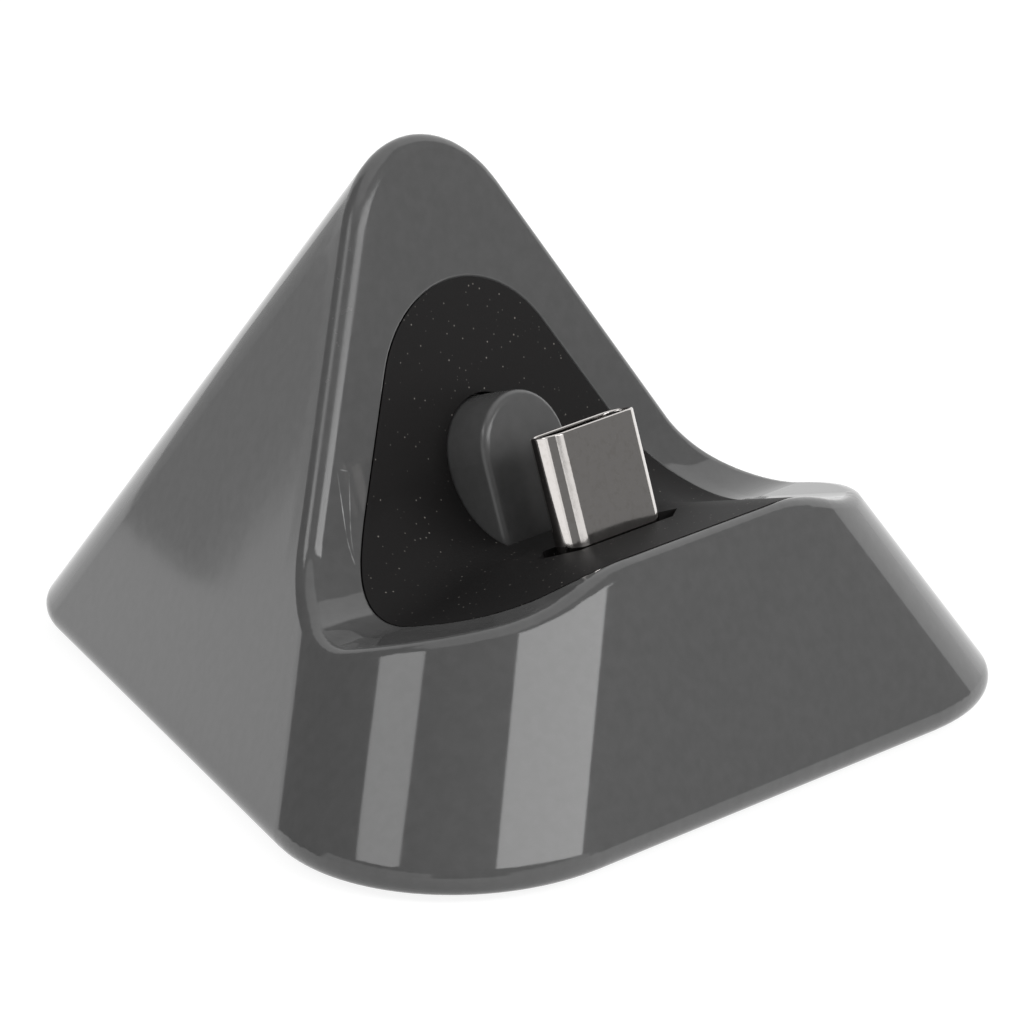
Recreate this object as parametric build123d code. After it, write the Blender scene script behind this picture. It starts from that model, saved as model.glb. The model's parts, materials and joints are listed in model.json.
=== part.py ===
from build123d import *
import math
import os

# Outer body: a tetrahedron on its base with every edge rounded. All sizes are in millimetres.
front_edge_width = 70.7
base_depth = 67.6
apex_set_back = 21.1
apex_height = 56.6
front_corner_radius = 12.2
rear_ridge_radius = 8.0
base_edge_radius = 1.15
wall_thickness = 1.8

# Notch for the console: a leaning back wall and a crowned seat that falls a little to its lip.
wall_foot = 17.6
wall_lean = 18.1
seat_height = 12.5
seat_fall = 3.6
seat_side_drop = 1.7
crown_half_width = 6.3
crown_run = 10.4
notch_bend_radius = 5.5
rim_radius = 0.95
seat_floor = 1.8

# Rubber insert, flush in a recess. Heights are measured up the back wall from its foot.
pad_thickness = 1.2
pad_gap = 0.12
pad_bed_gap = 0.03
pad_top = 28.7
pad_top_radius = 8.3
pad_side_angle = 30.1
pad_straight_end = 14.8
pad_belly_half_width = 15.6
pad_belly_forward = 5.0
pad_front_forward = 15.5
pad_front_half_width = 5.5

# Support boss behind the plug.
boss_width = 7.3
boss_top = 21.4
boss_bottom = 9.5
boss_proud = 3.1
boss_edge_radius = 0.45
boss_core_wall = 1.5
boss_opening_gap = 0.15

# Plug, standing parallel to the back wall.
plug_forward = 7.9
plug_tip_height = 18.85
plug_width = 8.25
plug_thickness = 2.4
plug_sheet = 0.28
plug_edge_radius = 0.12
plug_mouth_width = 6.9
plug_mouth_thickness = 1.0
plug_mouth_depth = 5.5
plug_housing_setback = 0.35
plug_hole_gap = 0.3
slot_half_length = 6.4
slot_width = 3.1
slot_straight_half_length = 4.2

# Contacts and latches of the plug and the inlet.
contact_count = 12
contact_pitch = 0.5
contact_width = 0.25
contact_sheet = 0.12
contact_bump = 0.12
groove_gap = 0.03
latch_sheet = 0.2
latch_depth = 0.6
latch_spread = 6.5

# Boards and what stands on them.
board_thickness = 1.0
board_corner_radius = 1.0
plug_board_top = 5.0
plug_board_width = 22.0
plug_board_back = 2.0
plug_board_front = 13.0
plug_board_screw_spread = 17.2
board_post_diameter = 4.4
carrier_width = 11.4
carrier_depth = 5.4
carrier_gap = 0.1
seat_gap = 0.02

# Inlet for the power lead, low in the right rear face.
port_set_back = 34.2
pocket_width = 13.0
pocket_height = 6.6
pocket_wall = 1.2
pocket_corner_radius = 2.0
pocket_least_depth = 0.4
inlet_width = 8.94
inlet_height = 3.26
inlet_length = 7.35
inlet_sheet = 0.3
inlet_hole_gap = 0.15
inlet_block_length = 2.2
tongue_width = 6.69
tongue_thickness = 0.7
tongue_setback = 0.8
inlet_board_width = 16.0
inlet_board_length = 13.0
inlet_board_screw_spread = 11.6
inlet_board_screw_inset = 2.4

# Small parts in a row behind the inlet, each with its length along the row first.
part_row_set_back = 2.6
chip_length = 2.9
chip_width = 1.6
chip_height = 1.0
capacitor_spread = 6.4
capacitor_length = 1.6
capacitor_width = 0.8
capacitor_height = 0.8
resistor_spread = 9.4
resistor_length = 1.0
resistor_width = 0.5
resistor_height = 0.35

# Base cover, its screws and feet.
cover_thickness = 3.0
cover_gap = 0.15
front_post_spread = 37.0
front_post_back = 10.0
rear_post_back = 46.0
post_diameter = 5.6
foot_diameter = 8.0
foot_recess = 0.7
foot_stand = 0.4
foot_gap = 0.1
foot_edge_radius = 0.3

# Self-tapping screws: one size for the case and a smaller one for the boards.
case_screw_head = 3.6
case_screw_head_height = 1.2
case_screw_shank = 2.0
case_screw_length = 7.0
board_screw_head = 3.0
board_screw_head_height = 1.0
board_screw_shank = 1.6
board_screw_length = 3.4
pilot_share = 0.8
screw_hole_gap = 0.2

# Wires from board to board.
wire_count = 4
wire_diameter = 0.8
wire_pitch = 1.2
wire_lift = 2.4
wire_landing_inset = 1.2
wire_landing_drop = 3.4
wire_start_inset = 1.4

# Far enough to pass through the whole dock.
reach = 200.0

# Heights and angles that follow from the sizes above.
port_height = cover_thickness + cover_gap + pocket_wall + pocket_height / 2
lean = math.radians(wall_lean)
fall = math.radians(seat_fall)
leaning = Plane(
    origin=(0, wall_foot, 0),
    x_dir=(1, 0, 0),
    z_dir=(0, math.sin(lean), math.cos(lean)),
)


def body_faces(inset=0.0):
    """The front, left and right faces of the body, looking outwards."""
    left_corner = Vector(-front_edge_width / 2, 0, 0)
    right_corner = Vector(front_edge_width / 2, 0, 0)
    rear_corner = Vector(0, base_depth, 0)
    apex = Vector(0, apex_set_back, apex_height)
    inside = (left_corner + right_corner + rear_corner + apex) / 4
    faces = []
    for start, end in (
        (left_corner, right_corner),
        (rear_corner, left_corner),
        (right_corner, rear_corner),
    ):
        normal = (end - start).cross(apex - start).normalized()
        if normal.dot(inside - start) > 0:
            normal = -normal
        faces.append(Plane(origin=start - normal * inset, z_dir=normal))
    return faces


def rounded_wedge(face_a, face_b, radius):
    """Everything behind two faces, with the edge between them rounded."""
    edge = face_a.intersect(face_b)
    section = Plane(origin=edge.position, z_dir=edge.direction)
    corners = [(0, 0)]
    for own, other in ((face_a, face_b), (face_b, face_a)):
        leg = edge.direction.cross(own.z_dir).normalized()
        if leg.dot(other.z_dir) > 0:
            leg = -leg
        far = section.to_local_coords(edge.position + leg * reach)
        corners.append((far.X, far.Y))
    profile = make_face(Polyline(*corners, close=True))
    tip = profile.vertices().sort_by_distance((0, 0, 0))[0]
    return extrude(section * fillet(tip, radius), reach, both=True)


def body(inset=0.0):
    """The rounded tetrahedron, drawn in on its three faces by an inset."""
    front, left, right = body_faces(inset)
    above_ground = Pos(0, 0, reach / 2) * Box(2 * reach, 2 * reach, reach)
    solid = rounded_wedge(front, left, front_corner_radius - inset)
    solid = solid & rounded_wedge(front, right, front_corner_radius - inset)
    solid = solid & rounded_wedge(left, right, rear_ridge_radius - inset)
    return solid & above_ground


def seat_level(forward):
    """Height of the middle of the seat at a distance before the back wall."""
    return seat_height - forward * math.tan(fall)


def notch(grow=0.0):
    """The space before the back wall and above the crowned seat, grown into both."""
    wide = reach / 2
    sweep = 2 * math.atan2(seat_side_drop, crown_run)
    crown_radius = crown_run / 2 / math.sin(sweep)
    side = Line((-wide, -seat_side_drop), (-crown_half_width - crown_run, -seat_side_drop))
    hollow = JernArc(side @ 1, (1, 0), crown_radius, math.degrees(sweep))
    crest = JernArc(hollow @ 1, hollow % 1, crown_radius, -math.degrees(sweep))
    middle = Line(crest @ 1, (0, 0))
    half = Curve() + [side, hollow, crest, middle]
    lid = Polyline((wide, -seat_side_drop), (wide, wide), (-wide, wide), (-wide, -seat_side_drop))
    profile = make_face((half + mirror(half, Plane.YZ) + lid).edges())
    if grow > 0:
        profile = offset(profile, grow, kind=Kind.INTERSECTION)
    across = Plane(origin=(0, grow, seat_level(-grow)), x_dir=(1, 0, 0), z_dir=(0, -1, 0))
    tool = extrude(across * profile, reach, dir=(0, -math.cos(fall), -math.sin(fall)))
    foot = [
        e for e in tool.edges()
        if abs(e.center().Y - grow) < 0.001 and e.center().Z < seat_height + notch_bend_radius
    ]
    return leaning * fillet(foot, notch_bend_radius + grow)


def pad_outline(gap=0.0):
    """Prism of the insert's outline less a gap, drawn along the bisector of the notch."""
    fold = math.sqrt(0.5)
    side = math.radians(pad_side_angle)
    radius = pad_top_radius - gap
    centre = pad_top - pad_top_radius
    start_up = centre + radius * math.sin(side)
    start_x = radius * math.cos(side)
    end_x = start_x + (start_up - pad_straight_end) * math.tan(side)
    belly_level = seat_level(pad_belly_forward) - seat_side_drop - pad_belly_forward
    front_level = seat_level(pad_front_forward) - pad_front_forward + gap
    crown = EllipticalCenterArc(
        (0, centre * fold), radius, radius * fold, pad_side_angle, arc_size=90 - pad_side_angle)
    straight = Line((start_x, start_up * fold), (end_x, pad_straight_end * fold))
    corner = Spline(
        straight @ 1,
        (pad_belly_half_width - gap, belly_level * fold),
        (pad_front_half_width, front_level * fold),
        tangents=(straight % 1, (-1, 0)),
    )
    front = Line(corner @ 1, (0, front_level * fold))
    half = Curve() + [crown, straight, corner, front]
    outline = make_face((half + mirror(half, Plane.YZ)).edges())
    bisector = Plane(origin=(0, 0, 0), x_dir=(1, 0, 0), z_dir=(0, -fold, fold))
    return leaning * extrude(bisector * outline, reach / 4, both=True)


def boss_profile(grow=0.0):
    """Outline of the support boss on the back wall."""
    length = boss_top - boss_bottom + 2 * grow
    profile = SlotOverall(length, boss_width + 2 * grow, rotation=90)
    return Pos(0, (boss_top + boss_bottom) / 2) * profile


def on_wall(profile, start, end):
    """A profile drawn on the back wall, from one distance before it to another."""
    wall = Plane(origin=(0, -start, 0), x_dir=(1, 0, 0), z_dir=(0, -1, 0))
    return leaning * extrude(wall * profile, end - start)


def up_plug(profile, start, end):
    """A profile square to the plug, from one height to another."""
    level = Plane(origin=(0, -plug_forward, start), x_dir=(1, 0, 0), z_dir=(0, 0, 1))
    return leaning * extrude(level * profile, end - start)


def port_frame():
    """Frame of the inlet: X along the face, Y up, Z outwards from the foot of the face."""
    right_face = body_faces()[2]
    outwards = Vector(right_face.z_dir.X, right_face.z_dir.Y, 0).normalized()
    foot_x = front_edge_width / 2 * (1 - port_set_back / base_depth)
    centre = Vector(foot_x, port_set_back, port_height)
    return Plane(origin=centre, x_dir=Vector(0, 0, 1).cross(outwards), z_dir=outwards)


def pocket_floor_depth():
    """How far in from the foot of the face the pocket's upright floor stands."""
    normal = body_faces()[2].z_dir
    slope = normal.Z / math.hypot(normal.X, normal.Y)
    return (port_height + pocket_height / 2) * slope + pocket_least_depth


def in_port(profile, inner, outer):
    """A profile square to the inlet, between two depths in from the foot of the face."""
    frame = port_frame()
    level = Plane(origin=frame.origin - frame.z_dir * inner, x_dir=frame.x_dir, z_dir=frame.z_dir)
    return extrude(level * profile, inner - outer)


def case_posts():
    """Centres of the three screw posts, seen from above."""
    half = front_post_spread / 2
    return {"left": (-half, front_post_back), "right": (half, front_post_back), "rear": (0, rear_post_back)}


def plug_board_posts():
    """Screw centres of the plug board in the notch's frame."""
    half = plug_board_screw_spread / 2
    return {"left": (-half, -plug_forward), "right": (half, -plug_forward)}


def inlet_board_posts():
    """Screw centres of the inlet board, seen from above in the port's frame."""
    half = inlet_board_screw_spread / 2
    inner = inlet_board_start() + inlet_board_length - inlet_board_screw_inset
    return {"front": (-half, inner), "rear": (half, inner)}


def inlet_board_start():
    """Depth at which the inlet board begins, just inside the pocket's floor."""
    return pocket_floor_depth() + pocket_wall + carrier_gap


def port_point(along, depth, height):
    """A point given along the port's face, in from it, and above the body's ground."""
    frame = port_frame()
    point = frame.origin + frame.x_dir * along - frame.z_dir * depth
    return Vector(point.X, point.Y, height)


def upper_shell():
    """The moulded housing: walls, notch, boss, pocket for the inlet and screw posts."""
    outer = body() - notch()
    outline_faces = body().faces()
    notch_faces = notch().faces()
    rim = []
    for edge in outer.edges():
        points = [edge @ 0.3, edge @ 0.7]
        on_body = all(min(f.distance_to(p) for f in outline_faces) < 0.002 for p in points)
        on_notch = all(min(f.distance_to(p) for f in notch_faces) < 0.002 for p in points)
        if on_body and on_notch:
            rim.append(edge)
    outer = fillet(rim, rim_radius)
    ground_edges = [e for e in outer.edges() if abs((e @ 0.5).Z) < 0.001]
    outer = fillet(ground_edges, base_edge_radius)

    underside = pad_thickness + seat_floor
    cavity = body(wall_thickness) - notch(underside)
    shell = outer - cavity
    shell -= notch(pad_thickness) & pad_outline()

    # The boss grows from the floor of the recess, and is cored from behind.
    boss = on_wall(boss_profile(), -pad_thickness - 0.5, boss_proud)
    front_edges = [
        e for e in boss.edges()
        if abs(leaning.to_local_coords(e.center()).Y + boss_proud) < 0.001
    ]
    boss = fillet(front_edges, boss_edge_radius)
    boss_floor = notch(pad_thickness + 0.5)
    shell += boss & boss_floor
    core = on_wall(boss_profile(-boss_core_wall), -underside - 1, boss_proud - boss_core_wall)
    shell -= core

    # Posts for the base cover run from its top to the roof of the cavity.
    inside = body(wall_thickness / 2) - notch(pad_thickness + seat_floor / 2)
    for x, y in case_posts().values():
        post = Pos(x, y, cover_thickness) * Cylinder(
            post_diameter / 2, reach, align=(Align.CENTER, Align.CENTER, Align.MIN))
        shell += post & inside
    for x, y in case_posts().values():
        shell -= Pos(x, y, 0) * Cylinder(
            case_screw_shank * pilot_share / 2,
            case_screw_length + cover_thickness,
            align=(Align.CENTER, Align.CENTER, Align.MIN),
        )

    # Two short posts under the seat carry the plug's board.
    for x, y in plug_board_posts().values():
        post = leaning * Pos(x, y, plug_board_top) * Cylinder(
            board_post_diameter / 2, reach, align=(Align.CENTER, Align.CENTER, Align.MIN))
        shell += post & inside & notch(underside + reach / 20)
        shell -= leaning * Pos(x, y, plug_board_top) * Cylinder(
            board_screw_shank * pilot_share / 2,
            board_screw_length,
            align=(Align.CENTER, Align.CENTER, Align.MIN),
        )

    # The plug comes up through the floor of the recess.
    hole = SlotOverall(plug_width + 2 * plug_hole_gap, plug_thickness + 2 * plug_hole_gap)
    shell -= up_plug(hole, plug_board_top, plug_tip_height)

    # The inlet sits behind a pocket with an upright floor.
    floor_depth = pocket_floor_depth()
    block = RectangleRounded(
        pocket_width + 2 * pocket_wall, pocket_height + 2 * pocket_wall, pocket_corner_radius + pocket_wall)
    shell += in_port(block, floor_depth + pocket_wall, 0) & body(wall_thickness / 2)
    pocket = RectangleRounded(pocket_width, pocket_height, pocket_corner_radius)
    shell -= in_port(pocket, floor_depth, -1)
    opening = SlotOverall(inlet_width + 2 * inlet_hole_gap, inlet_height + 2 * inlet_hole_gap)
    shell -= in_port(opening, floor_depth + 2 * pocket_wall, floor_depth - pocket_wall)
    return shell


def seat_pad():
    """The rubber insert, flush with the notch, with openings for the boss and the plug."""
    pad = (notch(pad_thickness - pad_bed_gap) & pad_outline(pad_gap)) - notch()
    pad -= on_wall(boss_profile(boss_opening_gap), -pad_thickness - 1, boss_proud + boss_opening_gap)
    half_width = slot_width / 2
    slot = make_face(Polyline(
        (-slot_half_length, 0),
        (-slot_straight_half_length, half_width),
        (slot_straight_half_length, half_width),
        (slot_half_length, 0),
        (slot_straight_half_length, -half_width),
        (-slot_straight_half_length, -half_width),
        close=True,
    ))
    pad -= up_plug(slot, plug_board_top, plug_tip_height)
    return pad


def plug_shell():
    """The drawn steel shell of the plug, open at both ends."""
    bottom = plug_board_top + seat_gap
    outer = up_plug(SlotOverall(plug_width, plug_thickness), bottom, plug_tip_height)
    bore = SlotOverall(plug_width - 2 * plug_sheet, plug_thickness - 2 * plug_sheet)
    inner = up_plug(bore, bottom - 1, plug_tip_height + 1)
    tube = outer - inner
    tip_edges = [
        e for e in tube.edges()
        if abs(leaning.to_local_coords(e.center()).Z - plug_tip_height) < 0.001
    ]
    return fillet(tip_edges, plug_edge_radius)


def contact_positions():
    """Places of one row of contacts across the plug or the tongue."""
    first = -(contact_count - 1) / 2 * contact_pitch
    return [first + i * contact_pitch for i in range(contact_count)]


def plug_housing():
    """The insulator in the plug, with its mouth and a groove for each contact."""
    width = plug_width - 2 * plug_sheet - 2 * seat_gap
    thickness = plug_thickness - 2 * plug_sheet - 2 * seat_gap
    bottom = plug_board_top + 4 * seat_gap
    top = plug_tip_height - plug_housing_setback
    block = up_plug(SlotOverall(width, thickness), bottom, top)
    mouth = RectangleRounded(plug_mouth_width, plug_mouth_thickness, plug_mouth_thickness / 3)
    block -= up_plug(mouth, top - plug_mouth_depth, top + 1)
    groove_depth = contact_sheet + groove_gap
    for x in contact_positions():
        for side in (-1, 1):
            centre = side * (plug_mouth_thickness / 2 + groove_depth / 2)
            groove = Pos(x, centre) * Rectangle(contact_width + 2 * groove_gap, groove_depth)
            block -= up_plug(groove, bottom - 1, top - plug_housing_setback)
    latch_slot = Rectangle(latch_spread + 2 * latch_sheet + 4 * groove_gap, latch_depth + 2 * groove_gap)
    block -= up_plug(latch_slot, bottom - 1, top - plug_mouth_depth)
    return block


def plug_contacts():
    """Two rows of sprung strips, bent inwards near the mouth."""
    bottom = plug_board_top
    top = plug_tip_height - plug_housing_setback - 3 * plug_housing_setback
    face = plug_mouth_thickness / 2
    back = face + contact_sheet
    bend = 4 * contact_bump
    strips = []
    for side in (-1, 1):
        outline = [
            (face, bottom),
            (face, top - 2 * bend),
            (face - contact_bump, top - bend),
            (face, top),
            (back, top),
            (back - contact_bump, top - bend),
            (back, top - 2 * bend),
            (back, bottom),
        ]
        profile = make_face(Polyline(*[(-plug_forward + side * y, z) for y, z in outline], close=True))
        for x in contact_positions():
            across = Plane(origin=(x - contact_width / 2, 0, 0), x_dir=(0, 1, 0), z_dir=(1, 0, 0))
            strips.append(leaning * extrude(across * profile, contact_width))
    return Compound(children=[s for strip in strips for s in strip.solids()])


def plug_latch():
    """One U of spring steel whose legs hold the receptacle's tongue frame."""
    half = latch_spread / 2
    low = plug_board_top + carrier_gap
    high = plug_tip_height - plug_housing_setback - plug_mouth_depth + 4 * latch_sheet
    legs = Polyline((-half, high), (-half, low), (half, low), (half, high))
    strip = offset(legs, latch_sheet / 2, side=Side.BOTH)
    profile = make_face(strip.edges())
    across = Plane(
        origin=(0, -plug_forward + latch_depth / 2, 0), x_dir=(1, 0, 0), z_dir=(0, -1, 0))
    return leaning * extrude(across * profile, latch_depth)


def plug_carrier():
    """The moulded block that stands on the board and holds the plug upright."""
    ceiling = seat_level(plug_forward + carrier_depth / 2) - pad_thickness - seat_floor
    top = ceiling - carrier_gap
    block = up_plug(RectangleRounded(carrier_width, carrier_depth, 1.0), plug_board_top, top)
    hole = SlotOverall(plug_width + 2 * seat_gap, plug_thickness + 2 * seat_gap)
    return block - up_plug(hole, plug_board_top - 1, top + 1)


def plug_board():
    """The circuit board under the seat, square to the plug."""
    depth = plug_board_front - plug_board_back
    centre = -(plug_board_front + plug_board_back) / 2
    outline = Pos(0, centre) * RectangleRounded(plug_board_width, depth, board_corner_radius)
    for x, y in plug_board_posts().values():
        outline -= Pos(x, y) * Circle(board_screw_shank / 2 + screw_hole_gap)
    return leaning * Pos(0, 0, plug_board_top - board_thickness) * extrude(outline, board_thickness)


def screw(head_diameter, head_height, shank_diameter, length):
    """Pan-head screw with a cross recess, its head below and its shank along +Z from the origin."""
    head = Pos(0, 0, -head_height) * Cylinder(
        head_diameter / 2, head_height, align=(Align.CENTER, Align.CENTER, Align.MIN))
    head = fillet(head.edges().sort_by(Axis.Z)[0], head_height * 0.4)
    shank = Cylinder(
        shank_diameter * pilot_share / 2, length, align=(Align.CENTER, Align.CENTER, Align.MIN))
    shank = chamfer(shank.edges().sort_by(Axis.Z)[-1], shank_diameter * 0.3, shank_diameter * 0.2)
    bar = Box(head_diameter * 0.55, head_diameter * 0.14, head_height * 1.2)
    recess = Pos(0, 0, -head_height) * (bar + Rot(0, 0, 90) * bar)
    return head + shank - recess


def base_cover():
    """The plate that closes the shell, with seats for screws and feet and the inlet board's posts."""
    slab = Pos(0, 0, cover_thickness / 2) * Box(2 * reach, 2 * reach, cover_thickness)
    plate = body(wall_thickness + cover_gap) & slab
    head_room = case_screw_head_height + screw_hole_gap
    for x, y in case_posts().values():
        plate -= Pos(x, y, 0) * Cylinder(
            foot_diameter / 2 + foot_gap, foot_recess, align=(Align.CENTER, Align.CENTER, Align.MIN))
        plate -= Pos(x, y, 0) * Cylinder(
            case_screw_head / 2 + screw_hole_gap,
            foot_recess + head_room,
            align=(Align.CENTER, Align.CENTER, Align.MIN),
        )
        plate -= Pos(x, y, 0) * Cylinder(
            case_screw_shank / 2 + screw_hole_gap, reach, align=(Align.CENTER, Align.CENTER, Align.CENTER))
    underside = inlet_board_underside()
    for along, depth in inlet_board_posts().values():
        foot = port_point(along, depth, cover_thickness - 1)
        post = Pos(foot) * Cylinder(
            board_post_diameter / 2,
            underside - cover_thickness + 1,
            align=(Align.CENTER, Align.CENTER, Align.MIN),
        )
        pilot = Pos(foot) * Cylinder(
            board_screw_shank * pilot_share / 2, reach / 10, align=(Align.CENTER, Align.CENTER, Align.MIN))
        plate = plate + post - pilot
    return plate


def inlet_board_underside():
    """Height of the inlet board's underside, so that the inlet's shell rests on its top."""
    return port_height - inlet_height / 2 - board_thickness


def inlet_board():
    """The circuit board that carries the inlet, flat above the base cover."""
    start = inlet_board_start()
    centre = port_point(0, start + inlet_board_length / 2, inlet_board_underside())
    frame = port_frame()
    level = Plane(origin=centre, x_dir=frame.x_dir, z_dir=(0, 0, 1))
    outline = level * RectangleRounded(inlet_board_width, inlet_board_length, board_corner_radius)
    board = extrude(outline, board_thickness)
    for along, depth in inlet_board_posts().values():
        centre = port_point(along, depth, 0)
        board -= Pos(centre.X, centre.Y, 0) * Cylinder(board_screw_shank / 2 + screw_hole_gap, reach / 2)
    return board


def inlet_shell():
    """The steel shell of the receptacle, its mouth level with the pocket's floor."""
    mouth = pocket_floor_depth()
    outer = in_port(SlotOverall(inlet_width, inlet_height), mouth + inlet_length, mouth)
    hollow = SlotOverall(inlet_width - 2 * inlet_sheet, inlet_height - 2 * inlet_sheet)
    return outer - in_port(hollow, mouth + inlet_length + 1, mouth - 1)


def inlet_tongue():
    """The receptacle's insulator: a block at the back and the tongue before it."""
    mouth = pocket_floor_depth()
    back = mouth + inlet_length
    gap = 2 * (inlet_sheet + seat_gap)
    block = in_port(SlotOverall(inlet_width - gap, inlet_height - gap), back, back - inlet_block_length)
    tongue = RectangleRounded(tongue_width, tongue_thickness, tongue_thickness / 3)
    return block + in_port(tongue, back - inlet_block_length + 0.5, mouth + tongue_setback)


def inlet_contacts():
    """Flat contacts on both faces of the tongue and their tails on the board."""
    mouth = pocket_floor_depth()
    back = mouth + inlet_length
    strips = []
    for x in contact_positions():
        for side in (-1, 1):
            height = side * (tongue_thickness / 2 + contact_sheet / 2)
            strip = Pos(x, height) * Rectangle(contact_width, contact_sheet)
            strips.append(in_port(strip, back - inlet_block_length, mouth + 2 * tongue_setback))
        tail = Pos(x, -inlet_height / 2 + contact_sheet / 2) * Rectangle(contact_width, contact_sheet)
        strips.append(in_port(tail, back + 1, back))
    return Compound(children=[s for strip in strips for s in strip.solids()])


def on_inlet_board(along, depth, length, width, height):
    """A small block soldered on the inlet board."""
    frame = port_frame()
    top = inlet_board_underside() + board_thickness
    level = Plane(origin=port_point(along, depth, top), x_dir=frame.x_dir, z_dir=(0, 0, 1))
    return extrude(level * Rectangle(length, width), height)


def part_row():
    """Depth of the row of small parts behind the inlet."""
    return pocket_floor_depth() + inlet_length + part_row_set_back


def protection_chip():
    """The chip that guards the data lines, in its plain epoxy body."""
    return on_inlet_board(0, part_row(), chip_length, chip_width, chip_height)


def pair_on_board(spread, length, width, height):
    """Two equal small parts, one each side of the chip."""
    pair = [on_inlet_board(side * spread / 2, part_row(), length, width, height) for side in (-1, 1)]
    return Compound(children=[s for part in pair for s in part.solids()])


def link_wires():
    """The wires from the plug's board to the inner end of the inlet's, bent at round corners."""
    landing_depth = inlet_board_start() + inlet_board_length - wire_landing_inset
    landing_top = inlet_board_underside() + board_thickness
    wires = []
    for i in range(wire_count):
        across = ((wire_count - 1) / 2 - i) * wire_pitch
        start = Vector(across, -plug_board_back - wire_start_inset, plug_board_top)
        landing = port_point(-across, landing_depth, landing_top)
        route = [
            leaning.from_local_coords(start),
            leaning.from_local_coords(start + Vector(0, 0, wire_lift)),
            landing + Vector(0, 0, wire_landing_drop),
            landing,
        ]
        runs = [b - a for a, b in zip(route, route[1:])]
        radii = []
        for before, after in zip(runs, runs[1:]):
            turn = math.radians(before.get_angle(after))
            radii.append(0.45 * min(before.length, after.length) / math.tan(turn / 2))
        path = FilletPolyline(*route, radius=radii)
        section = Plane(origin=path @ 0, z_dir=path % 0) * Circle(wire_diameter / 2)
        wires.append(sweep(section, path))
    return Compound(children=[s for wire in wires for s in wire.solids()])


def foot():
    """A rubber foot in its recess, standing a little below the cover."""
    disc = Pos(0, 0, -foot_stand) * Cylinder(
        foot_diameter / 2, foot_stand + foot_recess - seat_gap, align=(Align.CENTER, Align.CENTER, Align.MIN))
    return fillet(disc.edges().sort_by(Axis.Z)[0], foot_edge_radius)


def all_parts():
    """Every piece by name, in the body's own frame with the shell's lower edge at Z = 0."""
    parts = {
        "upper_shell": upper_shell(),
        "seat_pad": seat_pad(),
        "plug_shell": plug_shell(),
        "plug_housing": plug_housing(),
        "plug_contacts": plug_contacts(),
        "plug_latch": plug_latch(),
        "plug_carrier": plug_carrier(),
        "plug_board": plug_board(),
        "inlet_shell": inlet_shell(),
        "inlet_tongue": inlet_tongue(),
        "inlet_contacts": inlet_contacts(),
        "inlet_board": inlet_board(),
        "protection_chip": protection_chip(),
        "input_capacitors": pair_on_board(
            capacitor_spread, capacitor_length, capacitor_width, capacitor_height),
        "pull_down_resistors": pair_on_board(
            resistor_spread, resistor_length, resistor_width, resistor_height),
        "link_wires": link_wires(),
        "base_cover": base_cover(),
    }
    case_screw = screw(case_screw_head, case_screw_head_height, case_screw_shank, case_screw_length)
    board_screw = screw(board_screw_head, board_screw_head_height, board_screw_shank, board_screw_length)
    head_seat = foot_recess + case_screw_head_height + screw_hole_gap
    for name, (x, y) in case_posts().items():
        parts["base_screw_" + name] = Pos(x, y, head_seat) * case_screw
        parts["foot_" + name] = Pos(x, y, 0) * foot()
    for name, (x, y) in plug_board_posts().items():
        seat = leaning * Pos(x, y, plug_board_top - board_thickness)
        parts["plug_board_screw_" + name] = seat * board_screw
    board_top = inlet_board_underside() + board_thickness
    for name, (along, depth) in inlet_board_posts().items():
        parts["inlet_board_screw_" + name] = (
            Pos(port_point(along, depth, board_top)) * Rot(180, 0, 0) * board_screw)
    return parts


# The finished dock stands on its feet at Z = 0, centred on its footprint.
parts = all_parts()
shell_box = parts["upper_shell"].bounding_box()
to_rest = Pos(0, -(shell_box.min.Y + shell_box.max.Y) / 2, foot_stand)
os.makedirs("parts", exist_ok=True)
for name, solid in parts.items():
    export_step(to_rest * solid, "parts/" + name + ".step")
print("origin lies", -to_rest.position.Y, "mm behind the front base edge")
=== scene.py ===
import json
import math

import bmesh
import bpy
from mathutils import Matrix, Quaternion, Vector

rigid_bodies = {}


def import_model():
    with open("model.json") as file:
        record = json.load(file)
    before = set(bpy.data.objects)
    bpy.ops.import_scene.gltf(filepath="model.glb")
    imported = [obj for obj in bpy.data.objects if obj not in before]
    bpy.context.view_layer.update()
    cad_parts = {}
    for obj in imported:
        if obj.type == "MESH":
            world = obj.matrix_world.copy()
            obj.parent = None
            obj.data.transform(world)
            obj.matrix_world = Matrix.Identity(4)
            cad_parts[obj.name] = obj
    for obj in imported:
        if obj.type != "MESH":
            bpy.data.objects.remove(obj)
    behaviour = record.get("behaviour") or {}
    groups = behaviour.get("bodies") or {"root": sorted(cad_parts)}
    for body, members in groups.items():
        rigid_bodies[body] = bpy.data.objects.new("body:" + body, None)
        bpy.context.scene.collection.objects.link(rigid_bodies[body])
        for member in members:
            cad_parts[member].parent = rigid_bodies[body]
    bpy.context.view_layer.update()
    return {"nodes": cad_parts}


# Blender opens with a cube, a lamp and a camera of its own. They go before the dock
# is loaded, so that they don't count in its measured size.
for left_over in list(bpy.data.objects):
    bpy.data.objects.remove(left_over)

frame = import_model()
scene = bpy.context.scene

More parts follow.
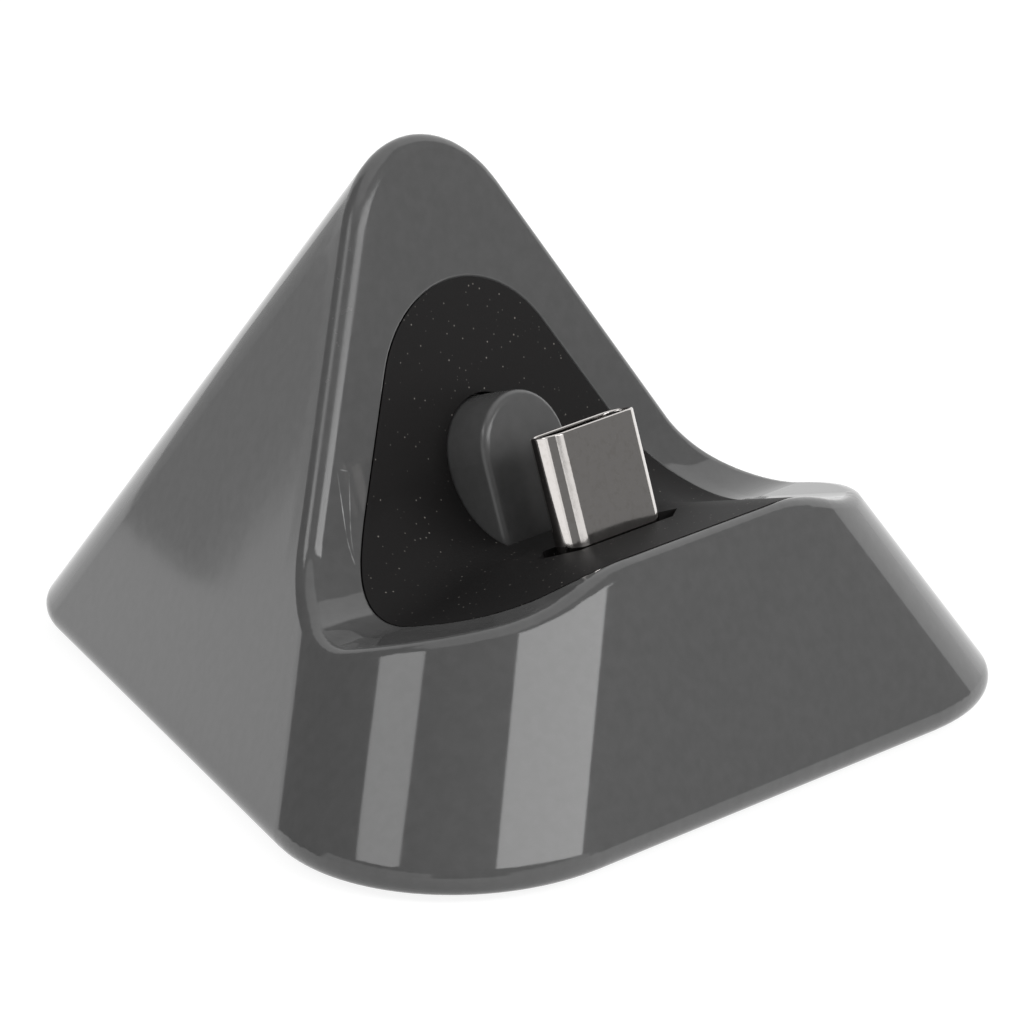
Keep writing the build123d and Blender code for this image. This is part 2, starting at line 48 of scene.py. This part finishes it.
# The view: a long lens half a metre off, so the dock's edges hardly converge.
# The camera looks down 18 degrees on the front left corner and aims at a point
# inside the notch. The small shift puts the dock where the photograph has it.
mm = 0.001
aim = Vector((0.0, -9.352, 15.4)) * mm
turn = math.radians(-48.858)
look_down = math.radians(18.351)
camera_distance = 0.5
to_camera = Vector((
    math.sin(turn) * math.cos(look_down),
    -math.cos(turn) * math.cos(look_down),
    math.sin(look_down),
))
camera_data = bpy.data.cameras.new("photo_camera")
camera_data.sensor_width = 36.0
camera_data.lens = 292.6
camera_data.shift_x = -0.01746
camera_data.shift_y = -0.01735
camera = bpy.data.objects.new("photo_camera", camera_data)
scene.collection.objects.link(camera)
camera.location = aim + to_camera * camera_distance
camera.rotation_mode = "QUATERNION"
camera.rotation_quaternion = (-to_camera).to_track_quat("-Z", "Y")
scene.camera = camera
scene.view_settings.view_transform = "Standard"


# The room: a white sweep that reads as plain white, with soft fill from all round
# and two softboxes, one each side of the camera. Their reflections are the two
# upright bands on the rounded front corner.
def add(tree, kind, links=(), sockets=(), **settings):
    """One node in a node tree, with its settings, its socket values and its links."""
    made = tree.nodes.new(kind)
    for name, value in settings.items():
        setattr(made, name, value)
    for socket, value in dict(sockets).items():
        made.inputs[socket].default_value = value
    for socket, source in dict(links).items():
        tree.links.new(source, made.inputs[socket])
    return made


def sees_white(tree):
    """1 for the rays that see the background as plain white: those of the camera, gloss and glass."""
    path = add(tree, "ShaderNodeLightPath").outputs
    seen = path["Is Camera Ray"]
    for kind in ("Is Glossy Ray", "Is Transmission Ray"):
        seen = add(tree, "ShaderNodeMath", {0: seen, 1: path[kind]}, operation="MAXIMUM").outputs[0]
    return seen


world = bpy.data.worlds.new("white_room")
world.use_nodes = True
scene.world = world
room = world.node_tree
room.nodes.clear()
fill = add(room, "ShaderNodeBackground", sockets={"Color": (1, 1, 1, 1), "Strength": 0.6})
white = add(room, "ShaderNodeBackground", sockets={"Color": (1, 1, 1, 1), "Strength": 1.0})
mixed = add(room, "ShaderNodeMixShader", {0: sees_white(room), 1: fill.outputs[0], 2: white.outputs[0]})
add(room, "ShaderNodeOutputWorld", {"Surface": mixed.outputs[0]})


def towards(bearing, height):
    """The unit vector to a bearing and a height in degrees: 0 is the dock's front, 90 its right side."""
    around, up = math.radians(bearing), math.radians(height)
    return Vector((math.sin(around) * math.cos(up), -math.cos(around) * math.cos(up), math.sin(up)))


def softbox(name, bearing, height, wide, high, radiance, roll=0.0, distance=0.9):
    """A softbox that spans wide by high degrees, seen from the dock, rolled about its own axis."""
    lamp = bpy.data.lights.new(name, "AREA")
    lamp.shape = "RECTANGLE"
    lamp.size = 2 * distance * math.tan(math.radians(wide / 2))
    lamp.size_y = 2 * distance * math.tan(math.radians(high / 2))
    lamp.energy = radiance * math.pi * lamp.size * lamp.size_y
    box = bpy.data.objects.new(name, lamp)
    scene.collection.objects.link(box)
    box.location = aim + towards(bearing, height) * distance
    box.rotation_mode = "QUATERNION"
    facing = (-towards(bearing, height)).to_track_quat("-Z", "Y")
    box.rotation_quaternion = facing @ Quaternion((0, 0, 1), math.radians(roll))
    box.visible_camera = False
    return box


softbox("softbox_left", bearing=-107, height=43, wide=23, high=16, radiance=3.2)
softbox("softbox_right", bearing=10.6, height=33.6, wide=48, high=12, radiance=4.6, roll=-30)
# The gloss doesn't see these three. They lift the colour of the front and the right side.
for soft in (
    softbox("key", bearing=15, height=16, wide=40, high=20, radiance=1.8),
    softbox("top_key", bearing=10.5, height=33, wide=48, high=13, radiance=2.5),
    softbox("side_key", bearing=96, height=4, wide=18, high=26, radiance=2.2),
):
    soft.visible_glossy = False


# The floor is matt white board. What the camera and the gloss see of it is lit
# to plain white, less the shadow under the dock.
def new_material(name):
    """An empty node material and its tree."""
    material = bpy.data.materials.new(name)
    material.use_nodes = True
    material.node_tree.nodes.clear()
    return material, material.node_tree


def from_hex(text):
    """The linear colour of an sRGB hex value such as 4a4b4c."""
    shares = [int(text[i:i + 2], 16) / 255 for i in (0, 2, 4)]
    return (*[s / 12.92 if s <= 0.04045 else ((s + 0.055) / 1.055) ** 2.4 for s in shares], 1.0)


floor_mesh = bmesh.new()
bmesh.ops.create_grid(floor_mesh, x_segments=1, y_segments=1, size=6.0)
floor_data = bpy.data.meshes.new("floor")
floor_mesh.to_mesh(floor_data)
floor_mesh.free()
floor = bpy.data.objects.new("floor", floor_data)
scene.collection.objects.link(floor)
white_board, tree = new_material("white_board")
board = add(tree, "ShaderNodeBsdfDiffuse", sockets={"Color": from_hex("e6e6e6")})
shade = add(tree, "ShaderNodeBsdfDiffuse", sockets={"Color": from_hex("8c8c8c")})
glow = add(tree, "ShaderNodeEmission", sockets={"Color": (1, 1, 1, 1), "Strength": 0.88})
lit = add(tree, "ShaderNodeAddShader", {0: shade.outputs[0], 1: glow.outputs[0]})
look = add(tree, "ShaderNodeMixShader", {0: sees_white(tree), 1: board.outputs[0], 2: lit.outputs[0]})
add(tree, "ShaderNodeOutputMaterial", {"Surface": look.outputs[0]})
floor_data.materials.append(white_board)


# A grey felt curtain hangs round the front of the room, with white cards in front
# of it. Only the gloss sees them: they give the plug its grey face between two
# white bands, and keep the shell's corner dark between the softboxes.
def curtain(name, start, end, low, high, grey, distance):
    """A curved screen between two bearings and two heights in degrees."""
    sheet = bmesh.new()
    corners = []
    for height in (low, high):
        lift = Vector((0, 0, math.tan(math.radians(height))))
        corners.append(sheet.verts.new((towards(start, 0) + lift) * distance))
    side = sheet.edges.new(corners)
    bmesh.ops.spin(
        sheet, geom=[*corners, side], cent=(0, 0, 0), axis=(0, 0, 1),
        angle=math.radians(end - start), steps=24, use_merge=False, use_duplicate=False,
    )
    data = bpy.data.meshes.new(name)
    sheet.to_mesh(data)
    sheet.free()
    hung = bpy.data.objects.new(name, data)
    scene.collection.objects.link(hung)
    felt, tree = new_material(name + "_felt")
    glow = add(tree, "ShaderNodeEmission", sockets={"Color": from_hex(grey), "Strength": 1.0})
    add(tree, "ShaderNodeOutputMaterial", {"Surface": glow.outputs[0]})
    data.materials.append(felt)
    hung.visible_camera = False
    hung.visible_diffuse = False
    hung.visible_shadow = False
    hung.visible_transmission = False


curtain("curtain_front", start=-178, end=76, low=-6, high=62, grey="7c7c7c", distance=1.6)
curtain("card_left", start=-137, end=-61, low=-4, high=24, grey="ffffff", distance=1.5)
curtain("card_right", start=-14, end=34, low=-4, high=13, grey="ffffff", distance=1.5)
# This one stands close behind the dock, and shades the foot of its left face.
curtain("card_rear", start=157, end=182, low=-6, high=7, grey="c4c4c4", distance=0.25)

# The upper shell: one thin-walled moulding in dark grey ABS with a mirror-gloss
# mould finish. It carries the boss behind the plug, the screw posts and the
# port pocket.
gloss_abs, tree = new_material("gloss_moulded_abs")
# A polished mould leaves a clear, even gloss with a slow waviness about 4 mm
# across, edges worn to a 0.18 mm radius, and a faint mottle in the pigment.
place = add(tree, "ShaderNodeTexCoord").outputs["Object"]
waves = add(
    tree, "ShaderNodeTexNoise", {"Vector": place},
    {"Scale": 1 / (4 * mm), "Detail": 1.0, "Roughness": 0.4},
)
worn = add(tree, "ShaderNodeBevel", sockets={"Radius": 0.18 * mm}, samples=6)
waviness = add(
    tree, "ShaderNodeBump", {"Height": waves.outputs[0], "Normal": worn.outputs[0]},
    {"Strength": 1.0, "Distance": 0.004 * mm},
)
cloud = add(tree, "ShaderNodeTexNoise", {"Vector": place}, {"Scale": 1 / (0.8 * mm), "Detail": 2.0})
tone = add(
    tree, "ShaderNodeMapRange", {"Value": cloud.outputs[0]},
    {"From Min": 0.3, "From Max": 0.7, "To Min": 0.0, "To Max": 1.0},
)
pigment = add(tree, "ShaderNodeMix", {0: tone.outputs[0]}, data_type="RGBA")
pigment.inputs["A"].default_value = from_hex("515151")
pigment.inputs["B"].default_value = from_hex("555555")
wall_lean = math.radians(18.1)


def in_box(tree, place, start, end, half_wide, half_deep, fade, share):
    """The share inside a box along the notch's wall, and 0 outside it.

    The box runs between two points in mm, half_wide to each side and half_deep in front
    of the wall and behind it. It fades out from that part of its half size."""
    wall_normal = Vector((0, -math.cos(wall_lean), math.sin(wall_lean)))
    reach = (Vector(end) - Vector(start)) * mm
    along = reach.normalized()
    across = wall_normal.cross(along).normalized()
    box = add(tree, "ShaderNodeMapping", {"Vector": place}, vector_type="TEXTURE")
    box.inputs["Location"].default_value = (Vector(start) + Vector(end)) / 2 * mm
    turned = Matrix((along, across, along.cross(across))).transposed()
    box.inputs["Rotation"].default_value = turned.to_euler()
    box.inputs["Scale"].default_value = (reach.length / 2, half_wide * mm, half_deep * mm)
    folded = add(tree, "ShaderNodeVectorMath", {0: box.outputs[0]}, operation="ABSOLUTE")
    sides = add(tree, "ShaderNodeSeparateXYZ", {0: folded.outputs[0]})
    far = add(tree, "ShaderNodeMath", {0: sides.outputs[0], 1: sides.outputs[1]}, operation="MAXIMUM")
    far = add(tree, "ShaderNodeMath", {0: far.outputs[0], 1: sides.outputs[2]}, operation="MAXIMUM")
    faded = add(
        tree, "ShaderNodeMapRange", {"Value": far.outputs[0]},
        {"From Min": fade, "From Max": 1.0, "To Min": share, "To Max": 0.0},
    )
    return faded.outputs[0]


# A console's corner has left fine, pale scratches on the wall beside the pad, where
# it missed the seat. They are 0.12 mm wide, and the last number is how pale they are.
scratched = pigment.outputs["Result"]
for start, end, pale in (
    ((-12.99, -5.57, 19.33), (-13.86, -7.50, 13.43), 0.75),
    ((-12.06, -5.68, 19.00), (-13.55, -7.10, 14.40), 0.45),
    ((-12.80, -5.57, 19.30), (-12.10, -5.65, 19.05), 0.30),
):
    line = in_box(tree, place, start, end, half_wide=0.06, half_deep=0.4, fade=0.2, share=pale)
    patchy = add(tree, "ShaderNodeMath", {0: line, 1: tone.outputs[0]}, operation="MULTIPLY")
    marked = add(tree, "ShaderNodeMix", {0: patchy.outputs[0], "A": scratched}, data_type="RGBA")
    marked.inputs["B"].default_value = from_hex("c8c8c8")
    scratched = marked.outputs["Result"]

# Consoles and fingers have rubbed the notch's left rim and the boss to a satin.
rim_top, rim_foot = (-2.0, 0.4, 38.4), (-18.0, -7.0, 14.5)
boss_top, boss_foot = (0, -4.87, 21.48), (0, -9.31, 7.89)
rim_rub = in_box(tree, place, rim_top, rim_foot, half_wide=1.3, half_deep=2.6, fade=0.4, share=0.2)
boss_rub = in_box(tree, place, boss_top, boss_foot, half_wide=5.0, half_deep=3.6, fade=0.9, share=0.16)
rubbed = add(tree, "ShaderNodeMath", {0: rim_rub, 1: boss_rub}, operation="MAXIMUM")
gloss = add(
    tree, "ShaderNodeMapRange", {"Value": cloud.outputs[0]},
    {"From Min": 0.3, "From Max": 0.7, "To Min": 0.055, "To Max": 0.075},
)
satin = add(tree, "ShaderNodeMath", {0: gloss.outputs[0], 1: rubbed.outputs[0]}, operation="ADD")
look = add(
    tree, "ShaderNodeBsdfPrincipled",
    {"Base Color": scratched, "Roughness": satin.outputs[0], "Normal": waviness.outputs[0]},
    {"IOR": 1.5},
)
add(tree, "ShaderNodeOutputMaterial", {"Surface": look.outputs[0]})
frame["nodes"]["upper_shell"].material_slots[0].material = gloss_abs

# The seat pad: one insert of black silicone rubber that lines the leaning wall
# and the seat. It is moulded in a matt mould, dropped into its recess and glued.
rubber, tree = new_material("moulded_silicone_rubber")
# Spark-eroded mould grain about 0.15 mm across makes it dull. Pale dust sits on the
# soft rubber: at most one speck in each 0.4 mm, drawn coarser than real dust to show.
place = add(tree, "ShaderNodeTexCoord").outputs["Object"]
grain = add(tree, "ShaderNodeTexNoise", {"Vector": place}, {"Scale": 1 / (0.15 * mm), "Detail": 2.0})
relief = add(
    tree, "ShaderNodeBump", {"Height": grain.outputs[0]},
    {"Strength": 1.0, "Distance": 0.008 * mm},
)
cells = add(tree, "ShaderNodeTexVoronoi", {"Vector": place}, {"Scale": 1 / (0.4 * mm), "Randomness": 1.0})
speck = add(
    tree, "ShaderNodeMapRange", {"Value": cells.outputs["Distance"]},
    {"From Min": 0.06, "From Max": 0.17, "To Min": 1.0, "To Max": 0.0},
)
chance = add(tree, "ShaderNodeSeparateColor", {"Color": cells.outputs["Color"]})
kept = add(
    tree, "ShaderNodeMapRange", {"Value": chance.outputs[0]},
    {"From Min": 0.5, "From Max": 1.0, "To Min": 0.0, "To Max": 0.8},
)
dust = add(tree, "ShaderNodeMath", {0: speck.outputs[0], 1: kept.outputs[0]}, operation="MULTIPLY")
colour = add(tree, "ShaderNodeMix", {0: dust.outputs[0]}, data_type="RGBA")
colour.inputs["A"].default_value = from_hex("1b1a1a")
colour.inputs["B"].default_value = from_hex("928e89")
look = add(
    tree, "ShaderNodeBsdfPrincipled",
    {"Base Color": colour.outputs["Result"], "Normal": relief.outputs[0]},
    {"IOR": 1.42, "Roughness": 0.6, "Specular IOR Level": 0.18},
)
add(tree, "ShaderNodeOutputMaterial", {"Surface": look.outputs[0]})
frame["nodes"]["seat_pad"].material_slots[0].material = rubber

# The plug's shell is deep-drawn stainless steel, polished after drawing. The
# shell of the power inlet and the latch spring are the same steel.
steel, tree = new_material("drawn_stainless_steel")
# The polish leaves fine lines 0.08 mm apart along the leaning plug, a slight haze,
# and a faint warm tarnish in patches of half a millimetre.
place = add(tree, "ShaderNodeTexCoord").outputs["Object"]
upright = add(tree, "ShaderNodeMapping", {"Vector": place})
upright.inputs["Rotation"].default_value = (wall_lean, 0, 0)
upright.inputs["Scale"].default_value = (1 / (0.08 * mm), 1 / (0.08 * mm), 1 / (4 * mm))
lines = add(tree, "ShaderNodeTexNoise", {"Vector": upright.outputs[0]}, {"Scale": 1.0, "Detail": 1.0})
relief = add(
    tree, "ShaderNodeBump", {"Height": lines.outputs[0]},
    {"Strength": 1.0, "Distance": 0.0006 * mm},
)
cloud = add(tree, "ShaderNodeTexNoise", {"Vector": place}, {"Scale": 1 / (0.6 * mm), "Detail": 2.0})
haze = add(
    tree, "ShaderNodeMapRange", {"Value": cloud.outputs[0]},
    {"From Min": 0.3, "From Max": 0.7, "To Min": 0.06, "To Max": 0.1},
)
tarnish = add(
    tree, "ShaderNodeTexNoise", {"Vector": place},
    {"Scale": 1 / (0.5 * mm), "Detail": 4.0, "Roughness": 0.7},
)
stain = add(
    tree, "ShaderNodeMapRange", {"Value": tarnish.outputs[0]},
    {"From Min": 0.5, "From Max": 0.8, "To Min": 0.0, "To Max": 1.0},
)
colour = add(tree, "ShaderNodeMix", {0: stain.outputs[0]}, data_type="RGBA")
colour.inputs["A"].default_value = from_hex("d8d4d1")
colour.inputs["B"].default_value = from_hex("cbc6c1")
look = add(
    tree, "ShaderNodeBsdfPrincipled",
    {"Base Color": colour.outputs["Result"], "Roughness": haze.outputs[0], "Normal": relief.outputs[0]},
    {"Metallic": 1.0},
)
add(tree, "ShaderNodeOutputMaterial", {"Surface": look.outputs[0]})
for name in ("plug_shell", "inlet_shell", "plug_latch"):
    frame["nodes"][name].material_slots[0].material = steel

# The insulators: the plug's housing and its block on the board, the inlet's tongue
# and the small chip. They are moulded in glass-filled polymer and epoxy.
polymer, tree = new_material("glass_filled_polymer")
# The short glass fibres come to the surface as pale flecks half a millimetre long.
place = add(tree, "ShaderNodeTexCoord").outputs["Object"]
flow = add(tree, "ShaderNodeMapping", {"Vector": place})
flow.inputs["Scale"].default_value = (1 / (0.09 * mm), 1 / (0.5 * mm), 1 / (0.09 * mm))
fibres = add(tree, "ShaderNodeTexNoise", {"Vector": flow.outputs[0]}, {"Scale": 1.0, "Detail": 2.0})
fleck = add(tree, "ShaderNodeMapRange", {"Value": fibres.outputs[0]}, {"From Min": 0.6, "From Max": 0.75})
colour = add(tree, "ShaderNodeMix", {0: fleck.outputs[0]}, data_type="RGBA")
colour.inputs["A"].default_value = from_hex("1b1b1c")
colour.inputs["B"].default_value = from_hex("3a3a3a")
relief = add(
    tree, "ShaderNodeBump", {"Height": fibres.outputs[0]},
    {"Strength": 1.0, "Distance": 0.004 * mm},
)
look = add(
    tree, "ShaderNodeBsdfPrincipled",
    {"Base Color": colour.outputs["Result"], "Normal": relief.outputs[0]},
    {"IOR": 1.5, "Roughness": 0.45},
)
add(tree, "ShaderNodeOutputMaterial", {"Surface": look.outputs[0]})
for name in ("plug_housing", "plug_carrier", "inlet_tongue", "protection_chip"):
    frame["nodes"][name].material_slots[0].material = polymer

# The contacts of the plug and the inlet: strips of phosphor bronze, stamped and
# plated with gold.
gold, tree = new_material("gold_plated_bronze")
# The plating is thin, so it is slightly darker and duller in spots 0.4 mm across.
place = add(tree, "ShaderNodeTexCoord").outputs["Object"]
wear = add(tree, "ShaderNodeTexNoise", {"Vector": place}, {"Scale": 1 / (0.4 * mm), "Detail": 3.0})
share = add(tree, "ShaderNodeMapRange", {"Value": wear.outputs[0]}, {"From Min": 0.4, "From Max": 0.75})
colour = add(tree, "ShaderNodeMix", {0: share.outputs[0]}, data_type="RGBA")
colour.inputs["A"].default_value = from_hex("f0c878")
colour.inputs["B"].default_value = from_hex("c99a5c")
rough = add(
    tree, "ShaderNodeMapRange", {"Value": wear.outputs[0]},
    {"From Min": 0.3, "From Max": 0.7, "To Min": 0.18, "To Max": 0.34},
)
look = add(
    tree, "ShaderNodeBsdfPrincipled",
    {"Base Color": colour.outputs["Result"], "Roughness": rough.outputs[0]},
    {"Metallic": 1.0},
)
add(tree, "ShaderNodeOutputMaterial", {"Surface": look.outputs[0]})
for name in ("plug_contacts", "inlet_contacts"):
    frame["nodes"][name].material_slots[0].material = gold

# The two circuit boards: laminate of glass cloth and epoxy, under a green solder
# mask.
laminate, tree = new_material("masked_glass_epoxy")
# The glass cloth's threads, 0.5 mm apart, show as a faint weave through the mask.
place = add(tree, "ShaderNodeTexCoord").outputs["Object"]
# A wave texture at scale 1 repeats every 2 pi / 20 of a unit.
threads = {"Scale": 2 * math.pi / 20 / (0.5 * mm), "Distortion": 0.3}
warp = add(tree, "ShaderNodeTexWave", {"Vector": place}, threads, bands_direction="X")
weft = add(tree, "ShaderNodeTexWave", {"Vector": place}, threads, bands_direction="Y")
cloth = add(tree, "ShaderNodeMath", {0: warp.outputs["Fac"], 1: weft.outputs["Fac"]}, operation="MULTIPLY")
colour = add(tree, "ShaderNodeMix", {0: cloth.outputs[0]}, data_type="RGBA")
colour.inputs["A"].default_value = from_hex("12432a")
colour.inputs["B"].default_value = from_hex("1b5636")
relief = add(
    tree, "ShaderNodeBump", {"Height": cloth.outputs[0]},
    {"Strength": 1.0, "Distance": 0.006 * mm},
)
look = add(
    tree, "ShaderNodeBsdfPrincipled",
    {"Base Color": colour.outputs["Result"], "Normal": relief.outputs[0]},
    {"IOR": 1.53, "Roughness": 0.28},
)
add(tree, "ShaderNodeOutputMaterial", {"Surface": look.outputs[0]})
for name in ("plug_board", "inlet_board"):
    frame["nodes"][name].material_slots[0].material = laminate

# Seven self-tapping screws of hardened steel with a clear zinc finish: three
# through the base cover and two in each board.
zinc, tree = new_material("zinc_plated_screw_steel")
# Barrel plating leaves the heads evenly satin, with dull patches 0.7 mm across.
place = add(tree, "ShaderNodeTexCoord").outputs["Object"]
patches = add(tree, "ShaderNodeTexNoise", {"Vector": place}, {"Scale": 1 / (0.7 * mm), "Detail": 4.0})
rough = add(
    tree, "ShaderNodeMapRange", {"Value": patches.outputs[0]},
    {"From Min": 0.3, "From Max": 0.7, "To Min": 0.24, "To Max": 0.42},
)
share = add(tree, "ShaderNodeMapRange", {"Value": patches.outputs[0]}, {"From Min": 0.35, "From Max": 0.7})
colour = add(tree, "ShaderNodeMix", {0: share.outputs[0]}, data_type="RGBA")
colour.inputs["A"].default_value = from_hex("c4c6c8")
colour.inputs["B"].default_value = from_hex("a3a49f")
relief = add(
    tree, "ShaderNodeBump", {"Height": patches.outputs[0]},
    {"Strength": 1.0, "Distance": 0.005 * mm},
)
look = add(
    tree, "ShaderNodeBsdfPrincipled",
    {"Base Color": colour.outputs["Result"], "Roughness": rough.outputs[0], "Normal": relief.outputs[0]},
    {"Metallic": 1.0},
)
add(tree, "ShaderNodeOutputMaterial", {"Surface": look.outputs[0]})
for name, node in frame["nodes"].items():
    if "screw" in name:
        node.material_slots[0].material = zinc

# The small parts beside the chip: two capacitors of fired tan ceramic and two
# resistors of glazed black film on alumina.
for name, dark, pale in (
    ("input_capacitors", "8a6a4c", "9d7d5c"),
    ("pull_down_resistors", "1c1c1f", "2b2b30"),
):
    fired, tree = new_material("fired_" + name)
    # The fired body has a fine grain about 0.05 mm across.
    place = add(tree, "ShaderNodeTexCoord").outputs["Object"]
    grains = add(tree, "ShaderNodeTexNoise", {"Vector": place}, {"Scale": 1 / (0.05 * mm), "Detail": 1.0})
    colour = add(tree, "ShaderNodeMix", {0: grains.outputs[0]}, data_type="RGBA")
    colour.inputs["A"].default_value = from_hex(dark)
    colour.inputs["B"].default_value = from_hex(pale)
    look = add(
        tree, "ShaderNodeBsdfPrincipled",
        {"Base Color": colour.outputs["Result"]},
        {"IOR": 1.6, "Roughness": 0.38},
    )
    add(tree, "ShaderNodeOutputMaterial", {"Surface": look.outputs[0]})
    frame["nodes"][name].material_slots[0].material = fired

# The link wires: tinned copper in soft PVC, four side by side, soldered from board
# to board.
sleeve, tree = new_material("extruded_pvc_sleeve")
# Extrusion leaves an even, waxy gloss and slight streaks 0.6 mm across.
place = add(tree, "ShaderNodeTexCoord").outputs["Object"]
streaks = add(tree, "ShaderNodeTexNoise", {"Vector": place}, {"Scale": 1 / (0.6 * mm), "Detail": 2.0})
colour = add(tree, "ShaderNodeMix", {0: streaks.outputs[0]}, data_type="RGBA")
colour.inputs["A"].default_value = from_hex("7c1413")
colour.inputs["B"].default_value = from_hex("961f1b")
look = add(
    tree, "ShaderNodeBsdfPrincipled",
    {"Base Color": colour.outputs["Result"]},
    {"IOR": 1.53, "Roughness": 0.35},
)
add(tree, "ShaderNodeOutputMaterial", {"Surface": look.outputs[0]})
frame["nodes"]["link_wires"].material_slots[0].material = sleeve

# The base cover: the same ABS as the shell in near black, moulded with a fine
# spark-eroded texture, because it isn't seen in use.
textured_abs, tree = new_material("textured_moulded_abs")
# The texture is a dense field of rounded pits about 0.2 mm across, over a mottle
# of 2 mm.
place = add(tree, "ShaderNodeTexCoord").outputs["Object"]
pits = add(tree, "ShaderNodeTexVoronoi", {"Vector": place}, {"Scale": 1 / (0.2 * mm)}, feature="SMOOTH_F1")
relief = add(
    tree, "ShaderNodeBump", {"Height": pits.outputs["Distance"]},
    {"Strength": 1.0, "Distance": 0.012 * mm},
)
mottle = add(tree, "ShaderNodeTexNoise", {"Vector": place}, {"Scale": 1 / (2 * mm), "Detail": 2.0})
colour = add(tree, "ShaderNodeMix", {0: mottle.outputs[0]}, data_type="RGBA")
colour.inputs["A"].default_value = from_hex("2a2a2b")
colour.inputs["B"].default_value = from_hex("323233")
look = add(
    tree, "ShaderNodeBsdfPrincipled",
    {"Base Color": colour.outputs["Result"], "Normal": relief.outputs[0]},
    {"IOR": 1.5, "Roughness": 0.5},
)
add(tree, "ShaderNodeOutputMaterial", {"Surface": look.outputs[0]})
frame["nodes"]["base_cover"].material_slots[0].material = textured_abs

# The three feet: discs of black polyurethane rubber, stuck into recesses over the
# cover's screws.
foot_rubber, tree = new_material("cast_polyurethane_rubber")
# Cast rubber is dull, with a pale bloom in patches of 1.2 mm and a grain of 0.12 mm.
place = add(tree, "ShaderNodeTexCoord").outputs["Object"]
bloom = add(tree, "ShaderNodeTexNoise", {"Vector": place}, {"Scale": 1 / (1.2 * mm), "Detail": 4.0})
share = add(tree, "ShaderNodeMapRange", {"Value": bloom.outputs[0]}, {"From Min": 0.4, "From Max": 0.8})
colour = add(tree, "ShaderNodeMix", {0: share.outputs[0]}, data_type="RGBA")
colour.inputs["A"].default_value = from_hex("1a1a1a")
colour.inputs["B"].default_value = from_hex("3b3a38")
grain = add(tree, "ShaderNodeTexNoise", {"Vector": place}, {"Scale": 1 / (0.12 * mm), "Detail": 1.0})
relief = add(
    tree, "ShaderNodeBump", {"Height": grain.outputs[0]},
    {"Strength": 1.0, "Distance": 0.008 * mm},
)
look = add(
    tree, "ShaderNodeBsdfPrincipled",
    {"Base Color": colour.outputs["Result"], "Normal": relief.outputs[0]},
    {"IOR": 1.45, "Roughness": 0.7},
)
add(tree, "ShaderNodeOutputMaterial", {"Surface": look.outputs[0]})
for name in ("foot_left", "foot_right", "foot_rear"):
    frame["nodes"][name].material_slots[0].material = foot_rubber
